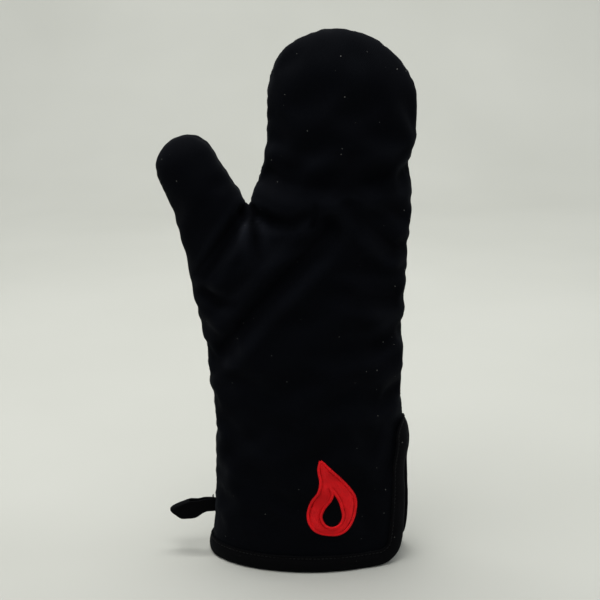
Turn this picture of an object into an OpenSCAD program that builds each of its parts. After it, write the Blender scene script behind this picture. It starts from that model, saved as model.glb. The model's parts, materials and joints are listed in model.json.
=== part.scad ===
// Long heat resistant mitt for outdoor cooking, standing on its open cuff.
// A twill shell, a batting and a lining make a front and a back half, sewn together round a hand
// and a thumb pocket. The cuff is bound, with a vent at one side and a hanging loop at the other.
// +Z runs from the cuff to the fingertips, the thumb points to -X and the palm faces +Y.

/* [Overall] */
// Height from the cuff's rim to the fingertips
mitt_h = 430; // [415:1:445]
// Width of the open cuff at its rim
cuff_w = 163; // [155:1:170]
// Depth of the open cuff at its rim
cuff_d = 90; // [80:1:98]

/* [Hand] */
// Width of the finger pocket
hand_w = 117; // [110:1:122]
// Depth of the finger pocket
hand_d = 58; // [52:1:62]
// How far the fingertips lean back towards the palm side
lean = 10; // [0:1:14]

/* [Thumb] */
// Radius of the thumb's round tip
thumb_r = 24.5; // [21:0.5:26]
// Half depth of the thumb at its tip
thumb_tip_b = 21; // [18:0.5:23]
// Half depth of the thumb where it leaves the palm
thumb_root_b = 26; // [24:0.5:28]

/* [Layers] */
// Thickness of the twill shell
shell_t = 1.0; // [0.6:0.1:1.4]
// Thickness of the batting
batting_t = 4.6; // [3:0.1:5.5]
// Thickness of the lining
lining_t = 1.0; // [0.6:0.1:1.4]

/* [Cuff] */
// Height of the side vent above the rim
vent_h = 105; // [90:1:115]
// Radius of the cuff's rounded corners beside the vent
corner_r = 22; // [18:1:26]
// Half gap of the vent just above its rounded corners
vent_gap = 11; // [7:0.5:13]
// How far the cuff turns its vent towards the front, in degrees
cuff_turn = 12; // [0:1:14]
// Width of the binding on each face
binding_w = 14; // [11:0.5:15]
// Thickness of the binding tape
binding_t = 1.2; // [0.8:0.1:1.6]

/* [Loop] */
// Radius of the hanging loop's eye
loop_eye_r = 6.5; // [5:0.5:8]
// Width of the loop's tape
loop_w = 14; // [10:1:16]
// Thickness of the loop's tape
loop_t = 1.8; // [1.2:0.1:2.2]
// How far the loop reaches out from the side seam
loop_reach = 38; // [32:1:42]
// Height of the loop's middle above the rim
loop_z = 41; // [34:1:50]

/* [Emblem] */
// Height of the embroidered flame
flame_h = 62; // [40:1:64]
// Sideways position of the flame
flame_x = 17; // [0:1:25]
// Height of the flame's lower end above the rim
flame_z = 33; // [20:1:40]

/* [Fold] */
// Furthest that the finger pocket folds towards the palm, in degrees
finger_fold = 50; // [30:5:50]
// Furthest that the thumb folds towards the palm, in degrees
thumb_fold = 40; // [20:5:40]

/* [Hidden] */

FRONT = -1;
BACK = 1;
air = 0.2;                                           // air between neighbouring layers
wall = shell_t + batting_t + lining_t + 2 * air;     // all three layers
shell_depths = [0, shell_t];                         // depths of a layer's two faces in the wall
batting_depths = [shell_t + air, shell_t + air + batting_t];
lining_depths = [wall - lining_t, wall];
seam_t = 0.5;                                        // thickness of the sewn seam between the halves
half_gap = seam_t / 2 + 0.3;                         // from the seam plane to either half

// Heights that divide the mitt
rim = binding_t + 0.6;                               // lower edge of the layers, inside the binding
root_z = 0.553 * mitt_h;                             // outer end of the thumb's root line
crotch_z = 0.688 * mitt_h;                           // notch between thumb and hand
knuckle_z = 0.763 * mitt_h;                          // line on which the fingers fold
dome_h = 54;                                         // height of the rounded fingertips
dome_z = mitt_h - dome_h;
section_gap = 0.8;                                   // air between two sections that move apart
fold_y = 14;                                         // both fold lines lie this far behind the seam

// Side edges seen from the front, as [height, x] stations
hand_x = 23.5;                                       // middle of the finger pocket
thumb_side_x = -96.5;                                // outer end of the thumb's root line
crotch_x = -49;
outer_edge = [[0, -cuff_w / 2 - 1], [22, -cuff_w / 2], [60, -79.5], [110, -78.5], [150, -81.5],
    [190, -87], [215, -92], [root_z, thumb_side_x]];
hand_edge = [[crotch_z, crotch_x], [crotch_z + 11, -45], [crotch_z + 26, -40.3],
    [crotch_z + 42, -36.6], [dome_z - 20, hand_x - hand_w / 2 + 0.3], [dome_z, hand_x - hand_w / 2]];
vent_edge = [[0, cuff_w / 2 - 1], [35, cuff_w / 2], [110, 76], [250, 76.3], [307, 79.3],
    [knuckle_z, 78.6], [knuckle_z + 20, 82], [dome_z, hand_x + hand_w / 2]];
half_depth = [[0, cuff_d / 2], [110, cuff_d / 2 - 3], [200, 37], [crotch_z, 32.5],
    [knuckle_z, 30.5], [dome_z, hand_d / 2]];
lean_curve = [[0, 0], [0.58 * mitt_h, 0], [knuckle_z, 0.15 * lean], [mitt_h, lean]];
tip_shift = 5;                                       // the fingertips' top lies nearer the thumb

// Thumb: two side curves run from its root line to its round tip
tip_angle = 30;                                      // the thumb points this far off vertical
tip_c = [-96.5, 0.756 * mitt_h];
tip_dir = [-sin(tip_angle), cos(tip_angle)];
tip_out = [-tip_dir[1], tip_dir[0]];                 // towards the thumb's outer side
outer_bend = [-103.5, 0.647 * mitt_h];
inner_bend = [-61, 0.731 * mitt_h];
thumb_len = 50;                                      // from the crotch to the thumb's round tip, about
swell_reach = 70;                                    // how far the thumb's root swells the palm

// Cubic curve through a table of [position, value] stations
function step_slope(t, i) = (t[i + 1][1] - t[i][1]) / (t[i + 1][0] - t[i][0]);
function slope(t, i) = i == 0 ? step_slope(t, 0)
    : i == len(t) - 1 ? step_slope(t, i - 1)
    : (step_slope(t, i - 1) + step_slope(t, i)) / 2;
function span(t, p, i = 0) = i == len(t) - 2 || p <= t[i + 1][0] ? i : span(t, p, i + 1);
function along(t, p) = let(
        i = span(t, p),
        w = t[i + 1][0] - t[i][0],
        q = max(0, min(1, (p - t[i][0]) / w)),
        r = 1 - q)
    t[i][1] * (1 + 2 * q) * r * r + t[i + 1][1] * (1 + 2 * r) * q * q
    + w * (slope(t, i) * q * r * r - slope(t, i + 1) * q * q * r);
function mix(a, b, t) = a + (b - a) * t;
function arc_curve(a, b, c, t) = mix(mix(a, b, t), mix(b, c, t), t);

// The vent's side of the cuff, turned towards the front; the turn fades out above the vent
turn_x = 30;                                         // the cuff turns beyond this x
turn_span = 50;                                      // distance in x over which the turn grows
turn_top = 170;                                      // height above which nothing is turned
turn_fade = 90;                                      // height over which the turn fades out
function ease(t) = let(q = max(0, min(1, t))) q * q * (3 - 2 * q);
function turned_cuff(p) = let(
        a = cuff_turn * ease((p[0] - turn_x) / turn_span) * ease((turn_top - p[2]) / turn_fade),
        x = p[0] - turn_x)
    [turn_x + x * cos(a) + p[1] * sin(a), p[1] * cos(a) - x * sin(a), p[2]];

// Degrees of angle round the cuff in 1 mm of fabric beside the vent
function turn(z) = 180 / PI / along(half_depth, z);

// Distance from the vent's middle line to the cuff's edge, moved into the fabric by m
vent_end = 2.5;                                      // radius of the vent's round top
function vent_side(z, m) =
    z < corner_r ? vent_gap + corner_r - sqrt(max(0, pow(corner_r - m, 2) - pow(corner_r - z, 2)))
    : z < vent_h ? m + mix(vent_gap, vent_end, (z - corner_r) / (vent_h - corner_r))
    : sqrt(max(0, pow(vent_end + m, 2) - pow(z - vent_h, 2)));

// Half depth that the thumb's root adds to the palm at x, z
function root_swell(x, z, d) = let(
        start = [thumb_side_x + d, root_z],
        line = [crotch_x, crotch_z - d] - start,
        dir = line / norm(line),
        p = [x, z] - start,
        t = p * dir / norm(line),
        q = p * [dir[1], -dir[0]] / swell_reach)
    (thumb_root_b - d) * sqrt(max(0, 4 * t * (1 - t))) * sqrt(max(0, 1 - q * q));

// Rows of the palm section, as [height, share of the thumb's root line passed]
corner_rows = 5;
vent_rows = 4;
arm_rows = 5;
thumb_cols = 10;                                     // the root line's rows meet the thumb's columns
vent_top = vent_h + vent_end + rim;
palm_rows = concat(
    [for (i = [0 : corner_rows]) [corner_r - (corner_r - rim) * cos(90 * i / corner_rows), 0]],
    [for (i = [1 : vent_rows]) [mix(corner_r, vent_h, i / vent_rows), 0]],
    [for (t = [0.35, 0.75, 1]) [mix(vent_h, vent_top, t), 0]],
    [for (i = [1 : arm_rows]) [mix(vent_top, root_z, i / arm_rows), 0]],
    [for (i = [1 : thumb_cols])
        let(share = (1 - cos(180 * i / thumb_cols)) / 2) [mix(root_z, crotch_z, share), share]],
    [for (t = [0.12, 0.5, 1]) [mix(crotch_z, knuckle_z - section_gap / 2, t), 0]]);
vent_top_row = corner_rows + vent_rows + 3;
root_row = vent_top_row + arm_rows;
crotch_row = root_row + thumb_cols;
knuckle_row = len(palm_rows) - 1;

// Point of a section as [x, half depth, z]: u runs 0 to 1 from the thumb-side seam to the far seam,
// row from the section's lower edge to its upper edge, and d is the depth below the outer surface
function palm_point(u, row, d) = let(
        share = palm_rows[row][1],
        z = palm_rows[row][0] - share * d,
        left = share > 0 ? mix(thumb_side_x + d, crotch_x, share)
            : row > crotch_row ? along(hand_edge, z) + d
            : along(outer_edge, z) + d,
        right = along(vent_edge, z) - d,
        end = row < vent_top_row ? 180 - vent_side(z, rim) * turn(z) : 180,
        x = (left + right) / 2 - (right - left) / 2 * cos(end * u),
        body = (along(half_depth, z) - d) * sin(end * u))
    [x, pow(pow(body, 3) + pow(root_swell(x, z, d), 3), 1 / 3), z];

// Notch at a fold that lets a section fold towards the palm without meeting its neighbour
function relief(y, side, fold) =
    section_gap + (side == BACK ? 1.15 * max(0, y + half_gap - fold_y) * tan(fold) : 0);

finger_rows = 10;
dome_row = 4;
function finger_point(u, row, d, side) = let(
        rise = 90 * max(0, row - dome_row) / (finger_rows - dome_row),
        low = knuckle_z + relief((along(half_depth, knuckle_z) - d) * sin(180 * u), side, finger_fold),
        z = mix(low, dome_z, min(1, row / dome_row)),
        left = along(hand_edge, z) + d,
        right = along(vent_edge, z) - d,
        across = -cos(180 * u) * sqrt(1 - pow(sin(rise), 2) / 2),
        x = (left + right) / 2 + (right - left) / 2 * across - tip_shift * pow(sin(rise), 2),
        up = (dome_h - d) * sin(rise) * sqrt(1 - pow(cos(180 * u), 2) / 2))
    [x, (along(half_depth, z) - d) * sin(180 * u) * cos(rise), z + up];

thumb_rows = 10;
tip_row = 5;
function thumb_point(u, row, d, side) = let(
        rise = 90 * max(0, row - tip_row) / (thumb_rows - tip_row),
        low = relief((thumb_root_b - d) * sin(180 * u), side, thumb_fold) / thumb_len,
        t = mix(low, 1, min(1, row / tip_row)),
        outer = arc_curve([thumb_side_x, root_z], outer_bend, tip_c + thumb_r * tip_out, t)
            + d * mix([1, 0], -tip_out, t),
        inner = arc_curve([crotch_x, crotch_z], inner_bend, tip_c - thumb_r * tip_out, t)
            + d * mix([0, -1], tip_out, min(1, 8 * t)),
        across = -cos(180 * u) * sqrt(1 - pow(sin(rise), 2) / 2),
        up = (thumb_r - d) * sin(rise) * sqrt(1 - pow(cos(180 * u), 2) / 2),
        p = mix(outer, inner, (1 + across) / 2) + up * tip_dir)
    [p[0], (mix(thumb_root_b, thumb_tip_b, t) - d) * sin(180 * u) * cos(rise), p[1]];

// Closed sheet between two faces: at(i, j, k) gives the point in column i and row j of face k.
// The quads' diagonals mirror at the middle column, so no sliver forms where a corner is rounded.
module sheet(cols, rows, flip, at) {
    function id(i, j, k) = (k * (rows + 1) + j) * (cols + 1) + i;
    function quad(q) = flip ? [[q[0], q[2], q[1]], [q[0], q[3], q[2]]]
        : [[q[0], q[1], q[2]], [q[0], q[2], q[3]]];
    function cell(i, j, k) = [id(i, j, k), id(i, j + 1, k), id(i + 1, j + 1, k), id(i + 1, j, k)];
    function turned(q, left) = left ? [q[1], q[2], q[3], q[0]] : q;
    function reversed(q) = [q[0], q[3], q[2], q[1]];
    faces = concat(
        [for (j = [0 : rows - 1], i = [0 : cols - 1]) each quad(turned(cell(i, j, 0), i < floor(cols / 2)))],
        [for (j = [0 : rows - 1], i = [0 : cols - 1])
            each quad(reversed(turned(cell(i, j, 1), i < floor(cols / 2))))],
        [for (i = [0 : cols - 1])
            each quad([id(i, 0, 0), id(i + 1, 0, 0), id(i + 1, 0, 1), id(i, 0, 1)])],
        [for (i = [0 : cols - 1])
            each quad([id(i, rows, 0), id(i, rows, 1), id(i + 1, rows, 1), id(i + 1, rows, 0)])],
        [for (j = [0 : rows - 1])
            each quad([id(0, j, 0), id(0, j, 1), id(0, j + 1, 1), id(0, j + 1, 0)])],
        [for (j = [0 : rows - 1])
            each quad([id(cols, j, 0), id(cols, j + 1, 0), id(cols, j + 1, 1), id(cols, j, 1)])]);
    polyhedron([for (k = [0, 1], j = [0 : rows], i = [0 : cols]) at(i, j, k)], faces);
}

// A section's point on its side of the seam, leaning back with the mitt
function placed(p, side) =
    turned_cuff([p[0], side * (p[1] + half_gap) + along(lean_curve, p[2]), p[2]]);

palm_cols = 16;
module palm_layer(side, depths)
    sheet(palm_cols, knuckle_row, side == BACK,
        function(i, j, k) placed(palm_point(i / palm_cols, j, depths[k]), side));
module finger_layer(side, depths)
    sheet(palm_cols, finger_rows, side == BACK,
        function(i, j, k) placed(finger_point(i / palm_cols, j, depths[k], side), side));
module thumb_layer(side, depths)
    sheet(thumb_cols, thumb_rows, side == BACK,
        function(i, j, k) placed(thumb_point(i / thumb_cols, j, depths[k], side), side));

module front_shell() color([0.09, 0.09, 0.1]) palm_layer(FRONT, shell_depths);
module back_shell() color([0.09, 0.09, 0.1]) palm_layer(BACK, shell_depths);
module front_batting() color([0.85, 0.84, 0.8]) palm_layer(FRONT, batting_depths);
module back_batting() color([0.85, 0.84, 0.8]) palm_layer(BACK, batting_depths);
module front_lining() color([0.16, 0.16, 0.17]) palm_layer(FRONT, lining_depths);
module back_lining() color([0.16, 0.16, 0.17]) palm_layer(BACK, lining_depths);
module front_shell_fingers() color([0.09, 0.09, 0.1]) finger_layer(FRONT, shell_depths);
module back_shell_fingers() color([0.09, 0.09, 0.1]) finger_layer(BACK, shell_depths);
module front_batting_fingers() color([0.85, 0.84, 0.8]) finger_layer(FRONT, batting_depths);
module back_batting_fingers() color([0.85, 0.84, 0.8]) finger_layer(BACK, batting_depths);
module front_lining_fingers() color([0.16, 0.16, 0.17]) finger_layer(FRONT, lining_depths);
module back_lining_fingers() color([0.16, 0.16, 0.17]) finger_layer(BACK, lining_depths);
module front_shell_thumb() color([0.09, 0.09, 0.1]) thumb_layer(FRONT, shell_depths);
module back_shell_thumb() color([0.09, 0.09, 0.1]) thumb_layer(BACK, shell_depths);
module front_batting_thumb() color([0.85, 0.84, 0.8]) thumb_layer(FRONT, batting_depths);
module back_batting_thumb() color([0.85, 0.84, 0.8]) thumb_layer(BACK, batting_depths);
module front_lining_thumb() color([0.16, 0.16, 0.17]) thumb_layer(FRONT, lining_depths);
module back_lining_thumb() color([0.16, 0.16, 0.17]) thumb_layer(BACK, lining_depths);

// Sewn seam in the seam plane, through all the layers: at(j, d) gives a point of the outline
module seam(rows, at)
    color([0.12, 0.12, 0.13]) sheet(1, rows, false,
        function(i, j, k) let(p = at(j, wall * i))
            turned_cuff([p[0], along(lean_curve, p[2]) + (k - 0.5) * seam_t, p[2]]));

module thumb_side_seam() seam(root_row, function(j, d) palm_point(0, j, d));
module vent_side_seam()
    seam(knuckle_row - vent_top_row, function(j, d) palm_point(1, vent_top_row + j, d));
module crotch_seam() seam(knuckle_row - crotch_row, function(j, d) palm_point(0, crotch_row + j, d));
module fingers_seam()
    seam(2 * finger_rows + palm_cols, function(j, d)
        finger_point(max(0, min(palm_cols, j - finger_rows)) / palm_cols,
            min(j, finger_rows, 2 * finger_rows + palm_cols - j), d, FRONT));
module thumb_seam()
    seam(2 * thumb_rows + thumb_cols, function(j, d)
        thumb_point(max(0, min(thumb_cols, j - thumb_rows)) / thumb_cols,
            min(j, thumb_rows, 2 * thumb_rows + thumb_cols - j), d, FRONT));

// The cuff's edge from the vent's top (step 0) down and round to the thumb-side seam, moved into
// the fabric by m, as [angle round the cuff, height]
end_steps = 3;
vent_steps = 6;
rim_steps = 16;
edge_steps = end_steps + vent_steps + corner_rows + rim_steps;
function edge_at(step, m) = let(
        a = 90 * step / end_steps,
        t = (step - end_steps) / vent_steps,
        b = 90 * (step - end_steps - vent_steps) / corner_rows,
        r = (step - end_steps - vent_steps - corner_rows) / rim_steps,
        p = a < 90 ? [(vent_end + m) * sin(a), vent_h + (vent_end + m) * cos(a)]
            : t < 1 ? [mix(vent_end, vent_gap, t) + m, mix(vent_h, corner_r, t)]
            : b < 90 ? [vent_gap + corner_r - (corner_r - m) * cos(b), corner_r - (corner_r - m) * sin(b)]
            : [vent_gap + corner_r, m])
    [(180 - p[0] * turn(p[1])) * (1 - max(0, r)), p[1]];

// Point outside or inside the cuff, d below its outer surface; the step runs all the way round
function cuff_point(step, m, d) = let(
        side = step <= edge_steps ? FRONT : BACK,
        e = edge_at(side == FRONT ? step : 2 * edge_steps - step, m),
        left = along(outer_edge, e[1]) + d,
        right = along(vent_edge, e[1]) - d)
    turned_cuff([(left + right) / 2 - (right - left) / 2 * cos(e[0]),
        side * (along(half_depth, e[1]) - d + half_gap) * sin(e[0]), e[1]]);

// Closed ring along the cuff's edge with a cross section of [m, d] points
module edge_ring(section) {
    n = len(section);
    rings = 2 * edge_steps;
    function id(i, j) = (j % rings) * n + i % n;
    polyhedron([for (j = [0 : rings - 1], p = section) cuff_point(j, p[0], p[1])],
        [for (j = [0 : rings - 1], i = [0 : n - 1])
            each [[id(i, j), id(i + 1, j), id(i + 1, j + 1)], [id(i, j), id(i + 1, j + 1), id(i, j + 1)]]]);
}

binding_air = 1.15;                                  // air between the binding and the layers
module cuff_binding() {
    near = -binding_air;
    far = wall + binding_air;
    color([0.07, 0.07, 0.08])
        edge_ring([[binding_w, near], [binding_t, near], [binding_t, far], [binding_w, far],
            [binding_w, far + binding_t], [0, far + binding_t], [0, near - binding_t],
            [binding_w, near - binding_t]]);
}

thread_r = 0.4;
stitch_inset = 1.6;                                  // from the binding's edge to its stitch line
module binding_thread()
    color([0.05, 0.05, 0.06])
        edge_ring([for (i = [0 : 5]) [binding_w - stitch_inset + thread_r * cos(60 * i),
            -binding_air - binding_t - 0.15 - thread_r - thread_r * sin(60 * i)]]);

// Embroidered flame on the front: side edges as [share of the height, x] stations
flame_left = [[0, -6], [0.08, -14], [0.26, -19], [0.46, -15.5], [0.6, -10.5], [0.75, -9],
    [0.9, -10.5], [1, -9.5]];
flame_right = [[0, 5], [0.08, 12], [0.26, 18.5], [0.46, 19], [0.6, 14.5], [0.75, 7], [0.9, -1],
    [1, -8]];
flame_t = 0.8;
flame_cols = 8;
flame_rows = 18;
module flame_emblem()
    color([0.6, 0.07, 0.09]) sheet(flame_cols, flame_rows, false,
        function(i, j, k) let(
            s = j / flame_rows,
            z = flame_z + flame_h * s,
            x = flame_x + mix(along(flame_left, s), along(flame_right, s), i / flame_cols)
                * flame_h / 62,
            out = half_gap + 0.3 + flame_t * (1 - k),
            mid = (along(outer_edge, z) + along(vent_edge, z)) / 2,
            w = (along(vent_edge, z) - along(outer_edge, z)) / 2)
            turned_cuff([x, -along(half_depth, z) * sqrt(1 - pow((x - mid) / w, 2)) - out, z]));

// Tape loop that stands out of the thumb-side seam; its round eye hangs on a hook
loop_root_r = loop_t + 0.6;
loop_root_x = along(outer_edge, loop_z) - loop_root_r - 2.2;
loop_eye_x = along(outer_edge, loop_z) - loop_reach + loop_eye_r + loop_t;
module hanging_loop() {
    root = loop_root_x - loop_eye_x;
    neck = loop_eye_r * sin(45);                     // the legs start a quarter turn apart
    slit = 0.5;                                      // half gap between the legs at the root
    color([0.08, 0.08, 0.09])
        translate([loop_eye_x, 0, loop_z - loop_w / 2])
            difference() {
                linear_extrude(loop_w)
                    hull() {
                        circle(loop_eye_r + loop_t, $fn = 32);
                        translate([root, 0]) circle(loop_root_r, $fn = 24);
                    }
                translate([0, 0, -1]) cylinder(r = loop_eye_r, h = loop_w + 2, $fn = 64);
                translate([0, 0, -1])
                    linear_extrude(loop_w + 2)
                        polygon([[neck, -neck], [root - 2, -slit], [root - 2, slit], [neck, neck]]);
            }
}

// Bar of dense stitches that closes the seam over the loop's ends
bartack_w = 4.4;
bartack_h = 13;
module loop_bartack()
    color([0.05, 0.05, 0.06])
        translate([along(outer_edge, loop_z) - 1.3, 0, loop_z])
            cube([0.8, bartack_w, bartack_h], center = true);

front_shell();
back_shell();
front_batting();
back_batting();
front_lining();
back_lining();
front_shell_fingers();
back_shell_fingers();
front_batting_fingers();
back_batting_fingers();
front_lining_fingers();
back_lining_fingers();
front_shell_thumb();
back_shell_thumb();
front_batting_thumb();
back_batting_thumb();
front_lining_thumb();
back_lining_thumb();
thumb_side_seam();
vent_side_seam();
crotch_seam();
fingers_seam();
thumb_seam();
cuff_binding();
binding_thread();
flame_emblem();
hanging_loop();
loop_bartack();
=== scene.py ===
"""Looks of a long padded twill mitt that stands on its open cuff.

Every shape is worked out in millimetres, and make_mesh() turns it into metres.
"""

import json
import math

import bpy
import numpy as np
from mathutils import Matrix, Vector, bvhtree, kdtree, noise
from numpy.linalg import norm


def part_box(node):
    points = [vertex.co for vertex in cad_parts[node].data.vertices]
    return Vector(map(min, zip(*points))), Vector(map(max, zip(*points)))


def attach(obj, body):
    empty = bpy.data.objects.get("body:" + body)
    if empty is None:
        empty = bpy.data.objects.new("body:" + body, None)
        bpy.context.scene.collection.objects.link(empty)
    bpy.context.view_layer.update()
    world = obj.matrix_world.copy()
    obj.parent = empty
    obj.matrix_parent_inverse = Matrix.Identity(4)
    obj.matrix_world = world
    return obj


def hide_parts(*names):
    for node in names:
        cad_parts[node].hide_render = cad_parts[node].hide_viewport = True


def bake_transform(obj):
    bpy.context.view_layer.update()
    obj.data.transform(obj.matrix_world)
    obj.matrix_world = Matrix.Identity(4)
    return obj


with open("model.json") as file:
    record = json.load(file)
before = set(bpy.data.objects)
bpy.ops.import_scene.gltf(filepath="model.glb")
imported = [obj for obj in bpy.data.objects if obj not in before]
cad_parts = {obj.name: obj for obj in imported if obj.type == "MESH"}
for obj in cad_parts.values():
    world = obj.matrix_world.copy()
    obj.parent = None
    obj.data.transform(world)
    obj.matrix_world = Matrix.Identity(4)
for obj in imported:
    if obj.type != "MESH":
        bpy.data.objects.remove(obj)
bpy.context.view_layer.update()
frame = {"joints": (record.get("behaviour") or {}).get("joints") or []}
MM = 0.001
FRONT = -1
BACK = 1


# ---- sizes, from the frame
def low(node):
    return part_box(node)[0] / MM


def high(node):
    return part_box(node)[1] / MM


def joint(name):
    return next(j for j in frame["joints"] if j["name"] == name)


WALL = 7.4  # shell, batting and lining together
SHELL_T = 1.0
RIM = low("front_shell").z  # lower edge of the layers, inside the binding
VENT_TOP = low("vent_side_seam").z
ROOT_Z = high("thumb_side_seam").z  # outer end of the thumb's root line
CROTCH_Z = low("crotch_seam").z + WALL  # notch between thumb and hand
KNUCKLE_Z = joint("finger_fold")["pos_m"][2] / MM
TOP_Z = high("fingers_seam").z
DOME_H = 54.0  # height of the rounded fingertips
DOME_Z = TOP_Z - DOME_H
LEAN = 10.0  # the fingertips lean back this far
CUFF_HALF_W = 81.5
CUFF_HALF_D = 45.0
ROOT_X = -96.5
CROTCH_X = -49.0
HAND_X = 23.5  # middle of the finger pocket
HAND_HALF_W = 58.5
TIP_SHIFT = 5.0  # the fingertips' top lies nearer the thumb

# Side edges seen from the front, as (height, x) stations
OUTER_EDGE = ((0, -CUFF_HALF_W - 1), (22, -CUFF_HALF_W), (60, -79.5), (110, -78.5), (150, -81.5),
              (190, -87), (215, -92), (ROOT_Z, ROOT_X))
HAND_EDGE = ((CROTCH_Z, CROTCH_X), (CROTCH_Z + 11, -45), (CROTCH_Z + 26, -40.3),
             (CROTCH_Z + 42, -36.6), (DOME_Z - 20, HAND_X - HAND_HALF_W + 0.3),
             (DOME_Z, HAND_X - HAND_HALF_W))
VENT_EDGE = ((0, CUFF_HALF_W - 1), (35, CUFF_HALF_W), (110, 76), (250, 76.3), (307, 79.3),
             (KNUCKLE_Z, 78.6), (KNUCKLE_Z + 20, 82), (DOME_Z, HAND_X + HAND_HALF_W))
HALF_DEPTH = ((0, CUFF_HALF_D), (110, CUFF_HALF_D - 3), (200, 37), (CROTCH_Z, 32.5),
              (KNUCKLE_Z, 30.5), (DOME_Z, 29))
LEAN_CURVE = ((0, 0), (0.58 * TOP_Z, 0), (KNUCKLE_Z, 0.15 * LEAN), (TOP_Z, LEAN))

# Vent
VENT_H = 105.0
VENT_GAP = 11.0
VENT_END_R = 2.5
CORNER_R = 22.0
VENT_TUCK = 2.6  # the layers' edges lie this much deeper in the binding beside the vent
TUCK_FADE = 12
BINDING_W = 14.0

# The vent's side of the cuff is turned towards the front
CUFF_TURN = math.radians(12)
TURN_X = 30
TURN_SPAN = 50
TURN_TOP = 170
TURN_FADE = 90

# Thumb
THUMB_ROOT_B = 26.0
THUMB_TIP_B = 21.0
THUMB_R = 24.5
THUMB_TIP = np.array((-96.5, 0.756 * TOP_Z))
THUMB_DIR = np.array((-math.sin(math.radians(30)), math.cos(math.radians(30))))
THUMB_OUT = np.array((-THUMB_DIR[1], THUMB_DIR[0]))
OUTER_BEND = np.array((-103.5, 0.647 * TOP_Z))
INNER_BEND = np.array((-61, 0.731 * TOP_Z))
ROOT_A = np.array((ROOT_X, ROOT_Z))
ROOT_B = np.array((CROTCH_X, CROTCH_Z))
SWELL_REACH = 70.0


# ---- curves
def along(table, p):
    """Cubic curve through a table of (position, value) stations."""
    p = np.asarray(p, float)
    pos, val = np.array(table, float).T
    steps = np.diff(val) / np.diff(pos)
    slopes = np.concatenate((steps[:1], (steps[:-1] + steps[1:]) / 2, steps[-1:]))
    i = np.clip(np.searchsorted(pos, p) - 1, 0, len(pos) - 2)
    w = pos[i + 1] - pos[i]
    q = np.clip((p - pos[i]) / w, 0, 1)
    r = 1 - q
    return (val[i] * (1 + 2 * q) * r * r + val[i + 1] * (1 + 2 * r) * q * q
            + w * (slopes[i] * q * r * r - slopes[i + 1] * q * q * r))


def mix(a, b, t):
    return a + (b - a) * t


def smooth(t):
    t = np.clip(t, 0, 1)
    return t * t * (3 - 2 * t)


def arc_curve(a, b, c, t):
    return mix(mix(a, b, t), mix(b, c, t), t)


def turned_cuff(points):
    """Points with the vent's side of the cuff turned about a vertical line at TURN_X."""
    x, y, z = points[..., 0] - TURN_X, points[..., 1], points[..., 2]
    a = CUFF_TURN * smooth(x / TURN_SPAN) * smooth((TURN_TOP - z) / TURN_FADE)
    return np.stack((TURN_X + x * np.cos(a) + y * np.sin(a), y * np.cos(a) - x * np.sin(a), z), -1)


def turn(z):
    """Angle round the cuff, in radians, of 1 mm of fabric beside the vent."""
    return 1 / along(HALF_DEPTH, z)


def vent_side(z, m):
    """Distance from the vent's middle line to the cuff's edge, moved into the fabric by m."""
    corner = VENT_GAP + CORNER_R - np.sqrt(np.maximum(0, (CORNER_R - m) ** 2 - (CORNER_R - z) ** 2))
    straight = m + mix(VENT_GAP, VENT_END_R, (z - CORNER_R) / (VENT_H - CORNER_R))
    end = np.sqrt(np.maximum(0, (VENT_END_R + m) ** 2 - (z - VENT_H) ** 2))
    return np.where(z < CORNER_R, corner, np.where(z < VENT_H, straight, end))


BUMP_Z = 101.0  # the binding's ends bunch up below the vent's top
BUMP_H = 3.6
BUMP_REACH_Z = 12
BUMP_REACH_ANGLE = 0.5


def bump(angle, z):
    """How far the bunched binding stands out beside the vent's top."""
    return BUMP_H * np.exp(-((z - BUMP_Z) / BUMP_REACH_Z) ** 2
                           - ((math.pi - angle) / BUMP_REACH_ANGLE) ** 2)


# ---- the mitt's outer form
EVEN_FROM = 0.35  # the hand's rows are level from this share of its width
HAND_COLS = 46
THUMB_COLS = 14
# Steps of the hand's grid from the rim upwards
RIM_ROWS, VENT_ROWS, VENT_END_ROWS, ARM_ROWS, FINGER_ROWS, DOME_ROWS = 7, 18, 1, 27, 17, 13
VENT_TOP_ROW = RIM_ROWS + VENT_ROWS + VENT_END_ROWS
ROOT_ROW = VENT_TOP_ROW + ARM_ROWS
CROTCH_ROW = ROOT_ROW + THUMB_COLS
DOME_ROW = CROTCH_ROW + FINGER_ROWS


def root_swell(x, z):
    """Half depth that the thumb's root adds to the palm at x, z."""
    line = ROOT_B - ROOT_A
    length = norm(line)
    c, s = line / length
    t = ((x - ROOT_X) * c + (z - ROOT_Z) * s) / length
    q = ((x - ROOT_X) * s - (z - ROOT_Z) * c) / SWELL_REACH
    return THUMB_ROOT_B * np.sqrt(np.maximum(0, 4 * t * (1 - t))) * np.sqrt(np.maximum(0, 1 - q * q))


def hand_rows():
    """Rows of the hand as (height at the thumb side, height elsewhere, root share, dome rise)."""
    rows = []
    for i in range(RIM_ROWS + 1):
        z = CORNER_R - (CORNER_R - RIM) * math.cos(math.radians(90 * i / RIM_ROWS))
        rows.append((z, z, 0, 0))

    def straight(a, b, n):
        rows.extend((mix(a, b, i / n), mix(a, b, i / n), 0, 0) for i in range(1, n + 1))

    straight(CORNER_R, VENT_H, VENT_ROWS)
    straight(VENT_H, VENT_TOP, VENT_END_ROWS)
    straight(VENT_TOP, ROOT_Z, ARM_ROWS)
    for i in range(1, THUMB_COLS + 1):
        share = (1 - math.cos(math.pi * i / THUMB_COLS)) / 2
        rows.append((mix(ROOT_Z, CROTCH_Z, share), mix(ROOT_Z, CROTCH_Z, i / THUMB_COLS), share, 0))
    straight(CROTCH_Z, DOME_Z, FINGER_ROWS)
    rows.extend((DOME_Z, DOME_Z, 0, math.pi / 2 * i / DOME_ROWS) for i in range(1, DOME_ROWS + 1))
    return np.array(rows)


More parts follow.
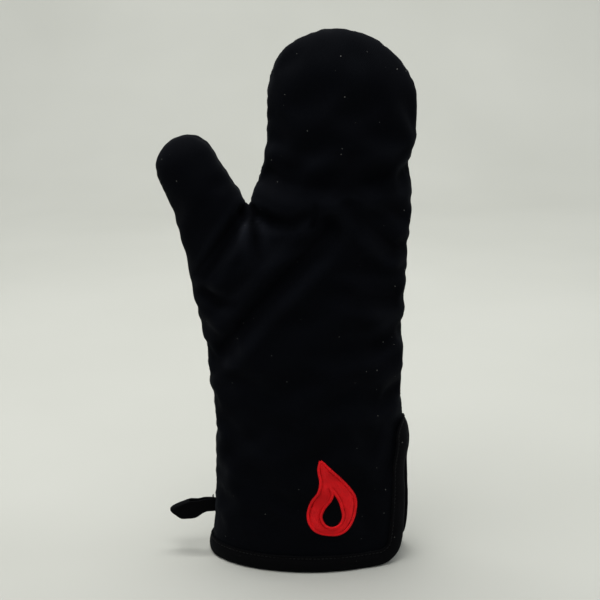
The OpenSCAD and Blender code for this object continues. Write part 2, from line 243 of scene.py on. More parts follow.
def dome(angle, rise):
    """Shares of the width and height of a rounded end, for an angle round it and one up over it."""
    return (-np.cos(angle) * np.sqrt(1 - np.sin(rise) ** 2 / 2),
            np.sin(rise) * np.sqrt(1 - np.cos(angle) ** 2 / 2))


def hand_patch(side):
    """Grid of points of the hand's front or back half, from the thumb-side seam to the vent side."""
    u = np.linspace(0, 1, HAND_COLS + 1)[None, :]
    rows = hand_rows()
    z_thumb, z_even, share, rise = (c[:, None] for c in rows.T)
    row = np.arange(len(rows))[:, None]
    z = mix(z_thumb, z_even, smooth(u / EVEN_FROM))
    left = np.where(row <= ROOT_ROW, along(OUTER_EDGE, z_thumb),
                    np.where(row < CROTCH_ROW, mix(ROOT_X, CROTCH_X, share), along(HAND_EDGE, z_thumb)))
    edge = RIM + VENT_TUCK * smooth((VENT_H + 2 - z) / TUCK_FADE)
    end = np.where(row < VENT_TOP_ROW, math.pi - vent_side(z, edge) * turn(z), math.pi)
    swell = bump(end * u, z)
    right = along(VENT_EDGE, z) + swell
    across, up = dome(end * u, rise)
    x = (left + right) / 2 + (right - left) / 2 * across - TIP_SHIFT * np.sin(rise) ** 2
    body = (along(HALF_DEPTH, z) + swell) * np.sin(end * u) * np.cos(rise)
    y = (body ** 3 + root_swell(x, z) ** 3) ** (1 / 3)
    y[DOME_ROW + 1:] = body[DOME_ROW + 1:]
    z = z + DOME_H * up
    return turned_cuff(np.stack((x, side * y + along(LEAN_CURVE, z), z), -1))


THUMB_ROWS = 13
TIP_ROWS = 8


def thumb_patch(side):
    """Grid of points of the thumb's front or back half, from its outer to its inner seam."""
    u = np.linspace(0, 1, THUMB_COLS + 1)[None, :]
    row = np.arange(THUMB_ROWS + TIP_ROWS + 1)[:, None]
    t = np.minimum(1, row / THUMB_ROWS)
    rise = math.pi / 2 * np.maximum(0, row - THUMB_ROWS) / TIP_ROWS
    outer = arc_curve(ROOT_A, OUTER_BEND, THUMB_TIP + THUMB_R * THUMB_OUT, t[..., None])
    inner = arc_curve(ROOT_B, INNER_BEND, THUMB_TIP - THUMB_R * THUMB_OUT, t[..., None])
    across, up = dome(math.pi * u, rise)
    p = mix(outer, inner, (1 + across[..., None]) / 2) + THUMB_R * up[..., None] * THUMB_DIR
    y = mix(THUMB_ROOT_B, THUMB_TIP_B, t) * np.sin(math.pi * u) * np.cos(rise)
    return np.stack((p[..., 0], side * y + along(LEAN_CURVE, p[..., 1]), p[..., 1]), -1)


HAND_FRONT, HAND_BACK, THUMB_FRONT, THUMB_BACK = range(4)


def row_lengths(grid):
    """Distance of each point of a grid from the start of its row, along the row."""
    steps = norm(np.diff(grid, axis=1), axis=-1)
    return np.concatenate((np.zeros_like(steps[:, :1]), np.cumsum(steps, 1)), 1)


def join_patches(patches):
    """One mesh from grids that share their edges: points, faces, parts, weave coordinates, indices."""
    for hand, thumb in ((HAND_FRONT, THUMB_FRONT), (HAND_BACK, THUMB_BACK)):
        patches[thumb][0] = patches[hand][ROOT_ROW:CROTCH_ROW + 1, 0]
    points, seen, faces, parts, weave, index = [], {}, [], [], [], []
    for part, grid in enumerate(patches):
        ids = np.zeros(grid.shape[:2], int)
        for cell in np.ndindex(ids.shape):
            key = tuple(np.round(grid[cell] * 1000).astype(int))
            if key not in seen:
                seen[key] = len(points)
                points.append(grid[cell])
            ids[cell] = seen[key]
        index.append(ids)
        warp = np.stack((row_lengths(grid), grid[..., 2]), -1)
        for j, i in np.ndindex(ids.shape[0] - 1, ids.shape[1] - 1):
            ring = [(j, i), (j, i + 1), (j + 1, i + 1), (j + 1, i)]
            if part in (HAND_BACK, THUMB_BACK):
                ring.reverse()
            face = [ids[c] for c in ring]
            if len(set(face)) == 4:
                faces.append(face)
                parts.append(part)
                weave.extend(warp[c] for c in ring)
    return np.array(points), faces, np.array(parts), np.array(weave), index


# ---- mesh helpers
def new_object(name, data):
    obj = bpy.data.objects.new(name, data)
    bpy.context.scene.collection.objects.link(obj)
    return obj


def make_mesh(name, points, faces, weave=None):
    """Object from points in mm; the weave coordinates, in mm, go into a UV map."""
    mesh = bpy.data.meshes.new(name)
    mesh.from_pydata((np.asarray(points) * MM).tolist(), [], [list(map(int, f)) for f in faces])
    if weave is not None:
        layer = mesh.uv_layers.new(name="weave")
        layer.data.foreach_set("uv", np.asarray(weave, np.float32).ravel())
    mesh.shade_smooth()
    return new_object(name, mesh)


def read(items, field, width, kind=np.float32):
    """A field of a mesh's vertices, edges or faces, with a row for each of them."""
    values = np.empty(len(items) * width, kind)
    items.foreach_get(field, values)
    return values.reshape(-1, width)


def points_of(mesh):
    return read(mesh.vertices, "co", 3).astype(float) / MM


def normals_of(mesh):
    return read(mesh.vertices, "normal", 3).astype(float)


def set_points(mesh, points):
    mesh.vertices.foreach_set("co", (points * MM).astype(np.float32).ravel())
    mesh.update()


def finish_piece(obj, body, slot, material, nodes):
    """Gives a piece its material, parents it to its body when that is a name, only bakes its transform when
    it gets a blend instead, and hides the nodes that it replaces; the slot is not used.
    """
    obj.data.materials.append(material)
    if isinstance(body, str):
        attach(obj, body)
    else:
        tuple(body[2])
        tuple(body[3])
        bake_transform(obj)
    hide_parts(*nodes)


def fractal(points, scale, seed):
    """Noise between about -1 and 1 at each point, with features of the given size in mm."""
    shift = seed * Vector((17.3, -9.1, 5.7))
    return np.array([noise.fractal(Vector(p / scale) + shift, 1.0, 2.0, 3) for p in points])


def tree_of(samples):
    tree = kdtree.KDTree(len(samples))
    for i, p in enumerate(samples):
        tree.insert(Vector(p), i)
    tree.balance()
    return tree


def distances(points, samples):
    """Distance of each point from the nearest sample."""
    tree = tree_of(samples)
    return np.array([tree.find(Vector(p))[2] for p in points])


# ---- folds
def fold_profile(points, stations):
    """Nearest distance from each x, z point to a polyline, and the share of its length there."""
    line = np.array(stations, float)
    start = lengths_along(line)
    best = np.full(len(points), 1e9)
    share = np.zeros(len(points))
    for k, length in enumerate(np.diff(start)):
        d = (line[k + 1] - line[k]) / length
        t = np.clip((points - line[k]) @ d, 0, length)
        dist = norm(points - line[k] - t[:, None] * d, axis=1)
        near = dist < best
        best[near] = dist[near]
        share[near] = (start[k] + t[near]) / start[-1]
    return best, share


# A fold is (x, z stations, half width, depth at the first station, depth at the last one)
FRONT_FOLDS = (
    (((-51, 292), (-66, 270), (-83, 242)), 6, 5.5, 3.0),  # the thumb's root line
    (((-47, 292), (-43, 276), (-40, 256)), 4.5, 5.5, 0.5),  # down from the crotch
    (((-47, 293), (-30, 287), (-14, 286), (6, 297)), 5.5, 5.0, 0.5),
    (((-51, 281), (-53, 264)), 5, -2.6, -0.8),  # raised between the first two
    (((4, 306), (2, 284)), 3.5, 0.5, 2.2),
    (((14, 283), (-14, 252), (-42, 223), (-72, 185)), 9, 3.6, 5.0),  # long drape across the palm
    (((28, 303), (46, 286), (66, 266)), 8, 2.4, 4.2),
    (((14, 238), (40, 228), (66, 224)), 8, 0.5, 3.2),
    (((-84, 231), (-70, 222), (-52, 222)), 5, 2.8, 0.5),
    (((-84, 181), (-70, 166), (-50, 160)), 6, 2.4, 0.5),
    (((-34, 324), (0, 315), (36, 315), (80, 326)), 10, 4.6, 2.6),  # below the padded fingertips
    (((74, 333), (60, 316)), 3.5, -2.6, -0.6),  # raised pucker at the far seam
    (((72, 198), (48, 186), (20, 184)), 7, 3.0, 0.3),
    (((-80, 128), (-52, 138), (-20, 134)), 10, 1.9, 0.4),
    (((76, 150), (50, 141), (22, 146)), 9, 2.6, 0.4),
    (((-66, 96), (-40, 84), (-14, 86)), 9, 1.8, 0.3),
    (((70, 118), (66, 92), (58, 70)), 6, 2.4, 0.6),  # above the bunched binding
)
BACK_FOLDS = (
    (((-50, 295), (-66, 268), (-86, 240)), 8, 5.0, 3.0),
    (((-48, 295), (-38, 262), (-30, 232)), 9, 4.0, 0.8),
    (((-36, 328), (10, 322), (80, 330)), 10, 4.5, 1.8),
    (((-40, 306), (10, 300), (78, 306)), 11, 3.0, 1.5),
    (((78, 262), (40, 252), (0, 262)), 12, 2.4, 0.5),
    (((-88, 205), (-50, 196), (-10, 210)), 13, 3.5, 0.5),
    (((76, 196), (40, 178), (4, 176)), 13, 2.0, 0.5),
    (((-80, 140), (-40, 150), (10, 138)), 14, 2.6, 0.5),
)
# Beside a fold the cloth bulges: share of the fold's depth, and place and reach in half widths
BULGE, BULGE_AT, BULGE_REACH = 0.3, 1.7, 0.7
# Seam puckers as (x, z, reach, depth): the seam is drawn in here
SEAM_PULLS = ((80, 330, 7, 1.4), (83, 346, 10, 0.3), (-38, 345, 6, 1.0), (-84, 226, 7, 0.7),
              (-86, 176, 8, 0.4), (77, 205, 9, 0.8), (76, 262, 8, 0.8), (-80, 112, 9, 0.4))


def fold_depths(points):
    """How far each point is pushed in by the folds of its half."""
    front = points[:, 1] < along(LEAN_CURVE, points[:, 2])
    depth = np.zeros(len(points))
    for folds, mask in ((FRONT_FOLDS, front), (BACK_FOLDS, ~front)):
        flat = points[mask][:, (0, 2)]
        valley, rise = np.zeros(len(flat)), np.zeros(len(flat))
        for stations, width, first, last in folds:
            dist, share = fold_profile(flat, stations)
            d = dist / width
            bulge = BULGE * np.exp(-((d - BULGE_AT) / BULGE_REACH) ** 2)
            push = mix(first, last, share) * (np.exp(-d ** 1.4) - bulge)
            valley = np.maximum(valley, push)
            rise = np.minimum(rise, push)
        depth[mask] = valley + rise
    return depth


def pull_depths(points):
    """How far each point is drawn in by the seams' puckers."""
    return sum(pull * np.exp(-((points[:, 0] - x) ** 2 + (points[:, 2] - z) ** 2) / reach ** 2)
               for x, z, reach, pull in SEAM_PULLS)


def pushed_in(surface, depth):
    """The points of a surface, each moved in by its depth."""
    return surface[0] - surface[1] * depth[:, None]


def unevenness(points):
    return 1.3 * fractal(points, 55, 1) + 0.5 * fractal(points, 22, 2)


# ---- cloth
CLOTH_FRAMES = 22
CLOTH_REACH = 4.0  # furthest a point may move, in mm
SLACK_PIN = 0.2  # how firmly the free cloth is held in place
CLOTH = {"quality": 6, "mass": 0.3, "tension_stiffness": 18, "compression_stiffness": 18,
         "shear_stiffness": 8, "bending_stiffness": 15, "shrink_min": -0.03, "use_pressure": True,
         "uniform_pressure_force": 1.5, "pin_stiffness": 1.0}


def simulate(obj, hold):
    """Swells the padded form under pressure, with a little spare cloth so that it wrinkles."""
    group = obj.vertex_groups.new(name="pin")
    for i, weight in enumerate(hold):
        group.add([i], float(weight), "REPLACE")
    rest = points_of(obj.data)
    modifier = obj.modifiers.new("cloth", "CLOTH")
    for setting, value in CLOTH.items():
        setattr(modifier.settings, setting, value)
    modifier.settings.vertex_group_mass = group.name
    modifier.settings.effector_weights.gravity = 0.0
    modifier.collision_settings.use_collision = False
    modifier.point_cache.frame_start = 1
    modifier.point_cache.frame_end = CLOTH_FRAMES
    for f in range(1, CLOTH_FRAMES + 1):
        bpy.context.scene.frame_set(f)
    result = obj.evaluated_get(bpy.context.evaluated_depsgraph_get())
    moved = points_of(result.data)
    obj.modifiers.remove(modifier)
    bpy.context.scene.frame_set(1)
    shift = moved - rest
    far = np.maximum(norm(shift, axis=1), 1e-6)
    set_points(obj.data, rest + shift * np.minimum(1, CLOTH_REACH / far)[:, None])


def subdivided(obj, name):
    """Copy of obj with one subdivision applied."""
    modifier = obj.modifiers.new("smooth", "SUBSURF")
    modifier.levels = 1
    modifier.boundary_smooth = "PRESERVE_CORNERS"
    result = bpy.data.meshes.new_from_object(obj.evaluated_get(bpy.context.evaluated_depsgraph_get()))
    obj.modifiers.remove(modifier)
    return new_object(name, result)


# ---- seams
def seam_path(index):
    """Vertex indices of the seam: up the thumb side, round the thumb, round the hand, to the vent."""
    hand, thumb = index[HAND_FRONT], index[THUMB_FRONT]
    arm = list(hand[:ROOT_ROW + 1, 0])
    around_thumb = list(thumb[:, 0]) + list(thumb[-1, :]) + list(thumb[::-1, -1])
    around_hand = list(hand[CROTCH_ROW:, 0]) + list(hand[-1, :]) + list(hand[:VENT_TOP_ROW - 1:-1, -1])
    return arm, around_thumb, around_hand


def lengths_along(points):
    """Distance along a polyline at each of its points."""
    return np.append(0, np.cumsum(norm(np.diff(points, axis=0), axis=1)))


def at_length(at, lengths, values):
    """Values of a polyline's points, read at any distance along it."""
    return np.stack([np.interp(at, lengths, values[:, k]) for k in range(3)], -1)


def resample(points, step):
    """Points along a polyline at an even step."""
    lengths = lengths_along(points)
    keep = np.append(True, np.diff(lengths) > 1e-6)
    at = np.linspace(0, lengths[-1], max(2, int(lengths[-1] / step)))
    return at_length(at, lengths[keep], points[keep])


def seam_samples(points, paths):
    """Points 1 mm apart along all the seams."""
    return np.concatenate([resample(points[p], 1.0) for p in paths])


SEAM_GROOVE = 1.5  # depth of the valley along a seam
SEAM_REACH = 4.0
PUCKER_PITCH = 11.0
PUCKER_REACH = 13.0
PUCKER_DEPTH = 0.36
PUCKER_WANDER = 2.2  # how many pitches the puckers drift off their even places
BACK_SHIFT = 1.3  # the back's puckers lie this many pitches further on


def sew(points, normals, seam, fade):
    """Draws the form in along its seams, with small puckers that fade away from them."""
    tree = tree_of(seam)
    moved = points.copy()
    for k, p in enumerate(points):
        _, s, dist = tree.find(Vector(p))
        if dist > 3 * PUCKER_REACH:
            continue
        wander = PUCKER_WANDER * noise.noise(Vector((s / 37, 0.5, 0.5))) + BACK_SHIFT * (p[1] > 0)
        ripple = math.sin(2 * math.pi * (s / PUCKER_PITCH + wander))
        strength = 0.55 + 0.45 * noise.noise(Vector((s / 21, 3.5, 0.5 + (p[1] > 0))))
        depth = SEAM_GROOVE * math.exp(-(dist / SEAM_REACH) ** 2)
        pucker = strength * ripple * PUCKER_DEPTH * math.exp(-dist / PUCKER_REACH)
        depth += pucker * min(1, 0.3 + dist / SEAM_REACH)
        moved[k] -= normals[k] * depth * fade[k]
    return moved


# ---- panels
def panel(name, source, keep, outer, inner, relief):
    """Closed sheet of the kept faces of the form, between two surfaces of (points, normals).

    The relief tells the material how deep each vertex lies in a fold, or how high if below 0; the twill
    paints highlight and shade on its folds from it."""
    kept = [source["mesh"].polygons[f] for f in np.flatnonzero(keep)]
    used = sorted({v for face in kept for v in face.vertices})
    order = {v: i for i, v in enumerate(used)}
    count = len(used)
    points = np.vstack((outer[0][used], inner[0][used]))
    skin = [[order[v] for v in face.vertices] for face in kept]
    back = [[v + count for v in reversed(f)] for f in skin]
    edges = dict.fromkeys(edge for f in skin for edge in zip(f, f[1:] + f[:1]))
    rim = np.array([(b, a, a + count, b + count) for a, b in edges if (b, a) not in edges])
    uv = [source["weave"][list(face.loop_indices)] for face in kept]
    weave = uv + [corners[::-1] for corners in uv] + [np.zeros((4 * len(rim), 2))]
    obj = make_mesh(name, points, skin + back + rim.tolist(), np.vstack(weave))
    layer = obj.data.attributes.new("relief", "FLOAT", "POINT")
    layer.data.foreach_set("value", np.tile(relief[used], 2).astype(np.float32))

    # the two surfaces keep the whole form's normals, so that the panels meet smoothly
    normals = np.vstack((outer[1][used], -inner[1][used]))
    a, b, c = (points[rim[:, k]] for k in range(3))
    across = np.cross(b - a, c - b)
    across /= np.maximum(norm(across, axis=1), 1e-9)[:, None]
    corners = np.vstack((normals[np.ravel(skin + back)], np.repeat(across, 4, axis=0)))
    obj.data.normals_split_custom_set(corners.tolist())
    return obj


def source_of(obj):
    """What panel() cuts from: the mesh of a whole form, its parts and its weave coordinates."""
    mesh = obj.data
    return {"mesh": mesh,
            "parts": read(mesh.polygons, "material_index", 1, np.int32)[:, 0],
            "weave": read(mesh.uv_layers["weave"].data, "uv", 2)}


def with_neighbours(mesh, values, operation=np.add):
    """The value at each vertex and those one edge away, put together by a numpy operation."""
    a, b = read(mesh.edges, "vertices", 2, np.int32).T
    result = values.copy()
    operation.at(result, a, values[b])
    operation.at(result, b, values[a])
    return result


def deepest(mesh, depth):
    """The largest depth at each vertex and the vertices up to two edges away."""
    return with_neighbours(mesh, with_neighbours(mesh, depth, np.maximum), np.maximum)


def blurred(mesh, values, rounds):
    """Values at the vertices, averaged with their neighbours' a number of times."""
    count = with_neighbours(mesh, np.ones(len(values)))
    for _ in range(rounds):
        values = with_neighbours(mesh, values) / count
    return values


def even_normals(mesh):
    """Vertex normals averaged with their neighbours', so that offsets don't spike at a seam's corners."""
    normals = normals_of(mesh)
    for _ in range(3):
        total = with_neighbours(mesh, normals)
        normals = total / norm(total, axis=1)[:, None]
    return normals


# ---- tubes, stitches, strips
def tangents(path):
    """Unit tangents of an open polyline."""
    t = np.gradient(path, axis=0)
    return t / norm(t, axis=1)[:, None]


def thread_ring(centre, up, side, radius):
    """Six points round the middle line of a thread."""
    return np.array([centre + radius * (up * math.cos(a) + side * math.sin(a))
                     for a in np.linspace(0, 2 * math.pi, 6, endpoint=False)])


def sweep(rings, closed):
    """Points and faces that join rings of equally many points; an open row of rings gets end caps."""
    points = np.concatenate(rings)
    ids = np.arange(len(points)).reshape(len(rings), -1)
    ahead = np.roll(ids, -1, 0)
    quads = np.stack((ids, np.roll(ids, -1, 1), np.roll(ahead, -1, 1), ahead), -1)
    if closed:
        return points, quads.reshape(-1, 4).tolist()
    return points, quads[:-1].reshape(-1, 4).tolist() + [ids[0, ::-1].tolist(), ids[-1].tolist()]


def mean_lengths(rows):
    """Distance across closed rows of points, averaged over their points."""
    steps = norm(np.roll(rows, -1, 0) - rows, axis=2).mean(1)
    return np.append(0, np.cumsum(steps))


def sweep_weave(rings, closed):
    """Weave coordinates for the faces of sweep(): length along the rings and round them."""
    rings = np.asarray(rings)
    count, n = rings.shape[:2]
    ahead, around = mean_lengths(rings), mean_lengths(rings.swapaxes(0, 1))
    uv = [(ahead[j + a], around[i + b]) for j in range(count if closed else count - 1)
          for i in range(n) for a, b in ((0, 0), (0, 1), (1, 1), (1, 0))]
    return uv if closed else uv + [(0, 0)] * 2 * n


def tape(name, rings, closed):
    """Smooth piece with weave coordinates, swept through rings."""
    obj = make_mesh(name, *sweep(rings, closed), sweep_weave(rings, closed))
    modifier = obj.modifiers.new("smooth", "SUBSURF")
    modifier.levels = modifier.render_levels = 1
    return obj


def add_part(points, faces, part):
    """Adds a part's points and faces to lists of points and faces."""
    faces.extend([[v + len(points) for v in f] for f in part[1]])
    points.extend(part[0])


# Half a stitch as (share of its length from its middle, share of its radius)
STITCH_SHAPE = ((0.5, 0.08), (0.47, 0.6), (0.36, 0.92), (0.12, 1.0))


def stitches(name, path, out, pitch, length, radius, sink=0.0):
    """Short rounded stitches along a path; out gives each path point's outward direction."""
    lengths = lengths_along(path)
    points, faces = [], []
    shape = [(-s, r) for s, r in STITCH_SHAPE] + [(s, r) for s, r in reversed(STITCH_SHAPE)]
    for k in range(int(lengths[-1] / pitch)):
        rings = []
        for s, r in shape:
            at = (k + 0.5) * pitch + s * length
            up = at_length(at, lengths, out)
            up = up / norm(up)
            ahead = at_length(at + 0.5, lengths, path) - at_length(at - 0.5, lengths, path)
            side = np.cross(ahead / norm(ahead), up)
            dip = radius * 1.1 * (2 * abs(s)) ** 3 + sink
            rings.append(thread_ring(at_length(at, lengths, path) - up * dip, up, side, r * radius))
        add_part(points, faces, sweep(rings, False))
    return make_mesh(name, points, faces)


# ---- cuff edge
# Steps of the edge round the vent's end, down its side, round its corner and along the rim
END_STEPS, SIDE_STEPS, CORNER_STEPS, RIM_STEPS = 8, 26, 12, 59


def edge_line(m):
    """(angle round the cuff, height) from the vent's top down and round to the thumb-side seam."""
    a = np.radians(np.linspace(0, 90, END_STEPS, endpoint=False))
    t = np.linspace(0, 1, SIDE_STEPS, endpoint=False)
    b = np.radians(np.linspace(0, 90, CORNER_STEPS, endpoint=False))
    r = np.linspace(0, 1, RIM_STEPS + 1)
    w = np.concatenate(((VENT_END_R + m) * np.sin(a), mix(VENT_END_R, VENT_GAP, t) + m,
                        VENT_GAP + CORNER_R - (CORNER_R - m) * np.cos(b),
                        np.full(len(r), VENT_GAP + CORNER_R)))
    z = np.concatenate((VENT_H + (VENT_END_R + m) * np.cos(a), mix(VENT_H, CORNER_R, t),
                        CORNER_R - (CORNER_R - m) * np.sin(b), np.full(len(r), m)))
    rim_share = np.concatenate((np.zeros(len(w) - len(r)), r))
    return (math.pi - w * turn(z)) * (1 - rim_share), z


def cuff_ring(m, d):
    """Closed ring of points along the cuff's edge, m into the fabric and d below its outer surface."""
    angle, z = edge_line(m)
    left = along(OUTER_EDGE, z) + d
    d = d - bump(angle, z)
    right = along(VENT_EDGE, z) - d
    x = (left + right) / 2 - (right - left) / 2 * np.cos(angle)
    y = (along(HALF_DEPTH, z) - d) * np.sin(angle)
    front = np.stack((x, -y, z), -1)
    back = np.stack((x, y, z), -1)
    return turned_cuff(np.concatenate((front, back[-2:0:-1])))


STITCH_M = BINDING_W - 1.6  # the stitch line's distance from the cuff's edge
# The tape's outer half as (distance from the edge, depth below the twill), from its hem to its fold
BINDING_OUTER = ((STITCH_M + 1.6, -0.3), (STITCH_M + 2, -1.0), (STITCH_M + 1.6, -1.9),
                 (STITCH_M + 0.8, -2.1), (STITCH_M, -1.6), (STITCH_M - 0.9, -2.1), (STITCH_M - 3, -2.9),
                 (6.0, -3.3), (3.0, -3.1), (1.4, -2.5), (0.4, -1.5), (0.0, 0.0), (0.0, WALL / 2))
# Its side against the layers, from the lining's hem back to the twill's
BINDING_INNER = ((STITCH_M, WALL + 0.4), (1.6, WALL + 0.4), (1.2, WALL / 2), (1.6, -0.3), (STITCH_M, -0.3))
BINDING_WAVE = 0.42  # the tape swells and creases by this much
BINDING_CREASE = 0.22
HEM_WANDER = 0.5  # its hems wander up and down by this much
EDGE_STITCH = (3.3, 2.7, 0.42)  # pitch, length and radius


def noise_row(lengths, scale, y, z):
    return np.array([noise.noise(Vector((v / scale, y, z))) for v in lengths])


def cuff_binding():
    """Folded tape round the cuff's rim and the vent, pulled in along its stitch line."""
    mirrored = tuple((m, WALL - d) for m, d in reversed(BINDING_OUTER[:-1]))
    lengths = lengths_along(cuff_ring(0, 0))
    wander = HEM_WANDER * noise_row(lengths, 16.0, 2.2, 0.1)
    lines = []
    for m, d in BINDING_OUTER + mirrored:
        line = cuff_ring(m, d)
        outward = cuff_ring(m, d - 1) - line
        half = 0 if d < 3 else 1
        swell = BINDING_WAVE * noise_row(lengths, 9.0, m / 6.0, 0.3 + 7 * half)
        swell += BINDING_CREASE * noise_row(lengths, 3.2, m / 14.0, 4.3 + 5 * half)
        line = line + outward * swell[:, None]
        if m > STITCH_M - 2:
            line[:, 2] += wander
        line[:, 2] = np.maximum(line[:, 2], 0)
        lines.append(line)
    lines.extend(cuff_ring(m, d) for m, d in BINDING_INNER)
    return tape("edge_tape", np.stack(lines, 1), True)


def binding_thread():
    """Row of lock stitches along the binding's hem."""
    path = cuff_ring(STITCH_M, -1.75)
    out = cuff_ring(STITCH_M, -2.75) - path
    return stitches("edge_stitches", np.vstack((path, path[:1])), np.vstack((out, out[:1])), *EDGE_STITCH)


# ---- hanging loop
LOOP_LOW, LOOP_HIGH = low("hanging_loop"), high("hanging_loop")
LOOP_Z = (LOOP_LOW.z + LOOP_HIGH.z) / 2
LOOP_W = LOOP_HIGH.z - LOOP_LOW.z
LOOP_T = 1.7
LOOP_EYE_R = 4.2
LOOP_EXTRA = 2.0  # the flattened eye reaches this much further than the round one
LOOP_TOP_CUT = 0.42  # the tape's upper edge reaches this much less far
LOOP_LOW_CUT = 0.24
LOOP_TWIST = math.radians(10)
LOOP_ROOT_DROOP = 2.0
LOOP_TIP_DROOP = 3.6  # further down than the root
LOOP_ROOT_W = 0.82  # shares of LOOP_W
LOOP_FLARE = 0.3
LOOP_ROOT_X = joint("loop_swing")["pos_m"][0] / MM
LOOP_END_X = float(along(OUTER_EDGE, LOOP_Z)) + 1.5  # the tape ends inside the side seam
LOOP_END_Y = 1.1
# One face of the tape as (share of its width, share of its thickness)
LOOP_FACE = ((-0.5, 0.3), (-0.47, 0.5), (-0.4, 0.52), (-0.38, 0.40), (-0.3, 0.52), (-0.1, 0.52),
             (0.1, 0.52), (0.3, 0.52), (0.38, 0.40), (0.4, 0.52), (0.47, 0.5), (0.5, 0.3))


def loop_path():
    """Middle line of the tape seen from above: out along the back, round the eye, in along the front."""
    eye_x = LOOP_LOW.x - LOOP_EXTRA + LOOP_EYE_R + LOOP_T / 2
    root = np.array((LOOP_END_X, LOOP_END_Y))
    lean = math.atan2(LOOP_EYE_R - LOOP_END_Y, LOOP_END_X - eye_x)
    arc = [(eye_x + LOOP_EYE_R * math.sin(a), LOOP_EYE_R * math.cos(a))
           for a in np.linspace(lean, -math.pi - lean, 26)]
    leg = [tuple(mix(root, np.array(arc[0]), t)) for t in np.linspace(0, 1, 11, endpoint=False)]
    back = [(x, -y) for x, y in reversed(leg)]
    return np.array(leg + arc + back)


def hanging_loop():
    """Folded tape that stands out of the side seam: narrow at its root, pointed and drooping at its tip."""
    path = loop_path()
    reach = (LOOP_ROOT_X - path[:, 0]) / (LOOP_ROOT_X - LOOP_LOW.x)
    ahead = tangents(path)
    section = LOOP_FACE + tuple((w, -t) for w, t in reversed(LOOP_FACE))
    rings = []
    for k, (x, y) in enumerate(path):
        near = smooth(reach[k])
        twist = LOOP_TWIST * near * (1 if y > 0 else 0.4)
        droop = LOOP_ROOT_DROOP + LOOP_TIP_DROOP * smooth(1.6 * near)
        width = LOOP_W * (LOOP_ROOT_W + LOOP_FLARE * smooth(2 * near))
        ring = []
        for w, t in section:
            up = w * width
            aside = t * LOOP_T + math.sin(twist) * up + 0.3 * noise.noise(Vector((k / 3.1, w * 3, 1.7)))
            shorter = (LOOP_TOP_CUT if w > 0 else LOOP_LOW_CUT) * abs(2 * w) ** 1.2
            out = x - ahead[k][1] * aside - LOOP_END_X
            ring.append((LOOP_END_X + out * (1 - shorter), y + ahead[k][0] * aside,
                         LOOP_Z - droop + math.cos(twist) * up))
        rings.append(ring)
    return tape("loop_tape", rings, False)


BARTACK_TURNS = 15
BARTACK_R = 0.48
BARTACK_OUT = np.array((-1.0, 0, 0))


def loop_bartack():
    """Close zigzag of thread over the loop's ends."""
    box_low, box_high = low("loop_bartack"), high("loop_bartack")
    corners = 2 * BARTACK_TURNS
    path = [(box_low.x + 0.35, box_high.y if k % 2 else box_low.y, mix(box_low.z, box_high.z, k / corners))
            for k in range(corners + 1)]
    path = resample(np.array(path), 1.1)
    rings = [thread_ring(p, BARTACK_OUT, np.cross(t, BARTACK_OUT), BARTACK_R)
             for p, t in zip(path, tangents(path))]
    return make_mesh("bartack_zigzag", *sweep(rings, False))


# ---- embroidered flame
FLAME_LEFT = ((0, -2.5), (0.015, -7), (0.05, -11.5), (0.12, -16), (0.26, -19), (0.46, -15.5), (0.6, -10.5),
              (0.75, -9), (0.9, -10.5), (1, -9.5))
FLAME_RIGHT = ((0, 2.5), (0.015, 6.5), (0.05, 10.5), (0.12, 14.5), (0.26, 18.5), (0.46, 19), (0.6, 14.5),
               (0.75, 7), (0.9, -1), (1, -8))
CORE_LEFT = ((0.1, -0.5), (0.115, -3.2), (0.15, -6), (0.25, -8.5), (0.36, -6), (0.47, -1.5), (0.57, 0.5),
             (0.66, -1.5))
CORE_RIGHT = ((0.1, 1.5), (0.115, 4.2), (0.15, 7), (0.25, 9.5), (0.36, 8.5), (0.47, 6.5), (0.57, 3),
              (0.66, -1))
FLAME_LOW, FLAME_HIGH = low("flame_emblem"), high("flame_emblem")
FLAME_H = FLAME_HIGH.z - FLAME_LOW.z
FLAME_X = FLAME_LOW.x + 19
FLOSS = 0.85  # pitch of the satin stitches
SHORTEST_STITCH = 1.6
STITCH_SLOPE = 0.08
SATIN_LIFT = 0.35
BORDER_STEPS = (-1.15, -0.6, 0, 0.6, 1.15)  # places across the border's middle line
BORDER_PITCH = 0.9
BORDER_R = 0.5
BORDER_LIFT = 0.75


def satin_thread(path, out, radius):
    """Slightly flat thread along a path whose ends dip into the cloth."""
    dips = [1.6, 0.35] + [0] * (len(path) - 4) + [0.35, 1.6]
    rings = []
    for p, t, up, dip in zip(path, tangents(path), out, dips):
        side = np.cross(t, up)
        rings.append(thread_ring(p - up * radius * dip, up * 0.8, side / norm(side), radius))
    return sweep(rings, False)


